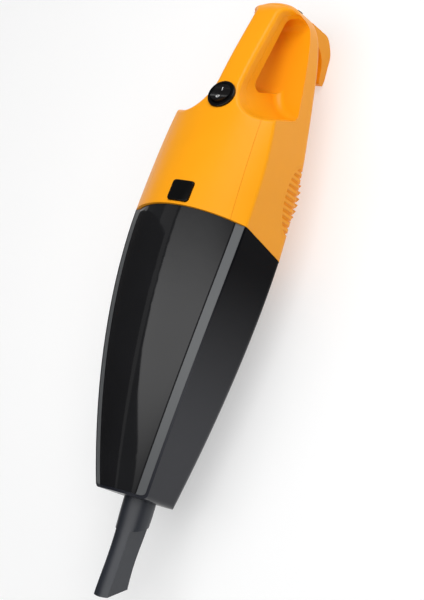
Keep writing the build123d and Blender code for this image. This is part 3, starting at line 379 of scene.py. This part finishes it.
def rounded_end(name):
    """A casing piece shown as a copy whose top rear edge is rounded and whose open bores are closed."""
    source = nodes[name]
    form = bmesh.new()
    form.from_mesh(source.data)
    bmesh.ops.remove_doubles(form, verts=form.verts, dist=WELD)
    bore = [face for face in form.faces if all(on_bore(vertex.co) for vertex in face.verts)]
    bmesh.ops.delete(form, geom=bore, context="FACES")
    bmesh.ops.holes_fill(form, edges=[edge for edge in form.edges if edge.is_boundary], sides=0)
    start = Vector((0, END_Y - END_ROUND, end_height(END_Y - END_ROUND) - END_ROUND))
    top_normal = Vector((0, END_SLOPE, 1)).normalized()
    rise = END_ROUND / END_STEPS
    near = [
        face
        for face in form.faces
        if max(vertex.co.y for vertex in face.verts) > start.y
        and max(vertex.co.z for vertex in face.verts) > END_TOP - END_ROUND
    ]
    # Cuts in both directions give the square corner a grid of points, which the loop below it
    # then draws in from squares about the start line to circles.
    outlines = dict.fromkeys(item for face in near for item in (*face.verts, *face.edges))
    geometry = list(outlines) + near
    for number in range(END_STEPS):
        upright = (start + Vector((0, number * rise, 0)), Vector((0, 1, 0)))
        sloping = (start + Vector((0, 0, number * rise)), top_normal)
        for place, normal in (upright, sloping):
            cut = bmesh.ops.bisect_plane(
                form, geom=geometry, dist=WELD, plane_co=place, plane_no=normal
            )
            geometry = cut["geom"]
    for vertex in form.verts:
        back = vertex.co.y - start.y
        above = vertex.co.z - (end_height(vertex.co.y) - END_ROUND)
        if back <= 0 or above <= 0:
            continue
        shrink = max(back, above) / (back * back + above * above) ** 0.5
        vertex.co.y = start.y + back * shrink
        vertex.co.z = end_height(vertex.co.y) - END_ROUND + above * shrink
        outside = min(1.0, max(0.0, (abs(vertex.co.x) - END_CORE) / END_CORE))
        reached = min(1.0, back / END_ROUND * 2) * min(1.0, above / END_ROUND * 2)
        vertex.co.z -= END_DROP * outside * reached
    mesh = bpy.data.meshes.new(name + "_shown")
    form.to_mesh(mesh)
    form.free()
    mesh.materials.append(finishes[slot_of[name]])
    # The CAD mesh's own normals no longer fit the changed shape.
    if "custom_normal" in mesh.attributes:
        mesh.attributes.remove(mesh.attributes["custom_normal"])
    mesh.shade_smooth()
    mesh.set_sharp_from_angle(angle=SMOOTH_ANGLE)
    shown = bpy.data.objects.new(name + "_shown", mesh)
    bpy.context.scene.collection.objects.link(shown)
    even = shown.modifiers.new("even", "WEIGHTED_NORMAL")
    even.keep_sharp = True
    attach(shown, source["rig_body"])
    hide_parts(name)


rounded_end("upper_casing")
rounded_end("lower_casing")

# ---------------------------------------------------------------- louvres behind the vent slots
def face_out(grid, side, y, z):
    """How far out a grille's outer face is at one point of its side, or None where there is none."""
    start = Vector((side * OUTSIDE_X, y, z))
    struck, place, _, _ = grid.ray_cast(start, Vector((-side, 0, 0)))
    return side * place.x if struck else None


body_of_casing = nodes["lower_casing"]["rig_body"]
for side, hand in ((1, "right"), (-1, "left")):
    grille = "vent_grille_" + hand
    grid = nodes[grille]
    low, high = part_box(grille)
    middle_y = (low.y + high.y) / 2
    middle_z = (low.z + high.z) / 2
    for number in range(VENT_SLOTS):
        y = middle_y + (number - (VENT_SLOTS - 1) / 2) * VENT_PITCH
        tall = VENT_HIGH * max(0.0, 1 - ((y - middle_y) / VENT_LONG) ** 2) ** 0.5
        points = []
        for step_z in range(LOUVRE_STEPS + 1):
            z = middle_z - tall + 2 * tall * step_z / LOUVRE_STEPS
            ribs = (y - VENT_PITCH / 2, y + VENT_PITCH / 2)
            lips = [face_out(grid, side, rib, z) for rib in ribs]
            known = [lip for lip in lips if lip is not None]
            out = sum(known) / len(known) if known else side * (low.x + high.x) / 2
            points.append((side * (out - LOUVRE_DEEP), y - VENT_SLOT / 2, z))
            points.append((side * (out - LOUVRE_SHALLOW), y + VENT_SLOT / 2, z))
        faces = [(2 * i, 2 * i + 1, 2 * i + 3, 2 * i + 2) for i in range(LOUVRE_STEPS)]
        name = f"louvre_{hand}_{number}"
        louvre = piece(name, points, faces, "orange_plastic", body_of_casing)
        thickness = louvre.modifiers.new("thickness", "SOLIDIFY")
        thickness.thickness = LOUVRE_THICK
        thickness.offset = 0

# ---------------------------------------------------------------- on and off marks on the rocker
finishes["white_print"] = moulded("white_print", (0.75, 0.75, 0.75), 0.5, depth=0.02, tint=0.04)
rocker = nodes["switch_rocker"]
lean = Matrix.Rotation(-MARK_LEAN, 3, "X")
across = Vector((1, 0, 0))
rearward = lean @ Vector((0, 1, 0))
outward = lean @ Vector((0, 0, 1))
middle = Vector((0, SWITCH_Y, SWITCH_Z))


def printed(name, outline):
    """A thin printed mark laid on the rocker's face, from quads in the switch's plane."""
    points = []
    for x, y in [corner for quad in outline for corner in quad]:
        start = middle + across * x + rearward * y + outward * MARK_START
        _, place, _, _ = rocker.ray_cast(start, -outward)
        points.append(place + outward * MARK_PROUD)
    faces = [tuple(range(4 * i, 4 * i + 4)) for i in range(len(outline))]
    mark = piece(name, points, faces, "white_print", rocker["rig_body"])


near_end, far_end = MARK_REACH - BAR_HALF, MARK_REACH + BAR_HALF
bar = [(-BAR_WIDE, near_end), (BAR_WIDE, near_end), (BAR_WIDE, far_end), (-BAR_WIDE, far_end)]
printed("mark_on", [bar])
ring = []
for number in range(RING_STEPS):
    turns = [2 * pi * (number + end) / RING_STEPS for end in (0, 1)]
    inner = [(RING_INNER * cos(turn), -MARK_REACH + RING_INNER * sin(turn)) for turn in turns]
    outer = [(RING_OUTER * cos(turn), -MARK_REACH + RING_OUTER * sin(turn)) for turn in turns]
    ring.append([inner[0], outer[0], outer[1], inner[1]])
printed("mark_off", ring)

# ---------------------------------------------------------------- floor, light and camera
def flat_panel(name, corners, material):
    """A flat piece of the studio, from the corners of its outline."""
    mesh = bpy.data.meshes.new(name)
    mesh.from_pydata(corners, [], [tuple(range(len(corners)))])
    mesh.materials.append(material)
    made = bpy.data.objects.new(name, mesh)
    bpy.context.scene.collection.objects.link(made)
    return made


def rectangle(wide, long):
    """The corners of a panel centred on its own origin."""
    return [(-wide / 2, -long / 2), (wide / 2, -long / 2), (wide / 2, long / 2), (-wide / 2, long / 2)]


floor_finish = moulded("studio_floor", FLOOR_GREY, 0.75, grain=0.01, depth=0.0, tint=0.005)
floor_corners = [(*corner, 0) for corner in rectangle(2 * FLOOR_REACH, 2 * FLOOR_REACH)]
flat_panel("studio_floor", floor_corners, floor_finish)
floor_shader = floor_finish.node_tree.nodes["Principled BSDF"]
floor_shader.inputs["Specular IOR Level"].default_value = 0.1
floor_shader.inputs["Emission Color"].default_value = (1, 1, 1, 1)
floor_shader.inputs["Emission Strength"].default_value = FLOOR_GLOW


def soft_box(name, outline, place, target, strength, fade):
    """A lit panel out of the camera's sight that faces a target, or straight down if there is none.

    The outline lies in the panel's own plane, and the light fades towards its ends along Y.
    """
    material = bpy.data.materials.new(name)
    material.use_nodes = True
    tree = material.node_tree
    link = tree.links.new
    tree.nodes.clear()
    output = tree.nodes.new("ShaderNodeOutputMaterial")
    glow = tree.nodes.new("ShaderNodeEmission")
    where = tree.nodes.new("ShaderNodeTexCoord")
    parts = tree.nodes.new("ShaderNodeSeparateXYZ")
    ends = tree.nodes.new("ShaderNodeMath")
    ends.operation = "ABSOLUTE"
    level = tree.nodes.new("ShaderNodeMapRange")
    level.interpolation_type = "SMOOTHSTEP"
    long = max(abs(along) for across, along in outline)
    level.inputs["From Min"].default_value = long * (1 - fade)
    level.inputs["From Max"].default_value = long
    level.inputs["To Min"].default_value = strength
    level.inputs["To Max"].default_value = strength * PANEL_END
    link(where.outputs["Object"], parts.inputs["Vector"])
    link(parts.outputs["Y"], ends.inputs[0])
    link(ends.outputs["Value"], level.inputs["Value"])
    link(level.outputs["Result"], glow.inputs["Strength"])
    link(glow.outputs["Emission"], output.inputs["Surface"])
    panel = flat_panel(name, [(*corner, 0) for corner in outline], material)
    panel.location = place
    if target is not None:
        panel.rotation_euler = (Vector(target) - Vector(place)).to_track_quat("-Z", "Y").to_euler()
    panel.visible_camera = False
    panel.visible_shadow = False


soft_box("overhead", OVERHEAD, (0, LIGHT_Y, 1.0), None, 2.7, 0.9)
soft_box("overhead_left", rectangle(0.7, 1.3), (-0.95, LIGHT_Y, 0.99), None, 0.45, 0.2)
flag_corners = [
    (FLAG_X, FLAG_FRONT, 0.0),
    (FLAG_X, FLAG_REAR, 0.0),
    (FLAG_X, FLAG_REAR, FLAG_HIGH),
    (FLAG_X, FLAG_FRONT, FLAG_HIGH),
]
flag = flat_panel("flag", flag_corners, finishes["black_rubber"])
flag.visible_camera = False
flag.visible_diffuse = False
flag.visible_shadow = False
soft_box("rear", rectangle(0.8, 0.8), (0.30, 1.05, 0.95), (0, 0.1, 0.05), 5.0, 0.3)
world = bpy.data.worlds.new("studio")
world.use_nodes = True
sky = world.node_tree.nodes["Background"]
sky.inputs["Color"].default_value = (*WORLD_TINT, 1)
sky.inputs["Strength"].default_value = WORLD_LIGHT
bpy.context.scene.world = world
bpy.context.scene.view_settings.view_transform = "Standard"

camera_data = bpy.data.cameras.new("camera")
camera_data.sensor_width = CAMERA_SENSOR
camera_data.lens = CAMERA_LENS
camera = bpy.data.objects.new("camera", camera_data)
bpy.context.scene.collection.objects.link(camera)
up = -CAMERA_DOWN.normalized()
right = CAMERA_RIGHT.normalized()
back = right.cross(up).normalized()
turn = Matrix((right, up, back)).transposed().to_4x4()
camera.matrix_world = Matrix.Translation(CAMERA_PLACE) @ turn
bpy.context.scene.camera = camera
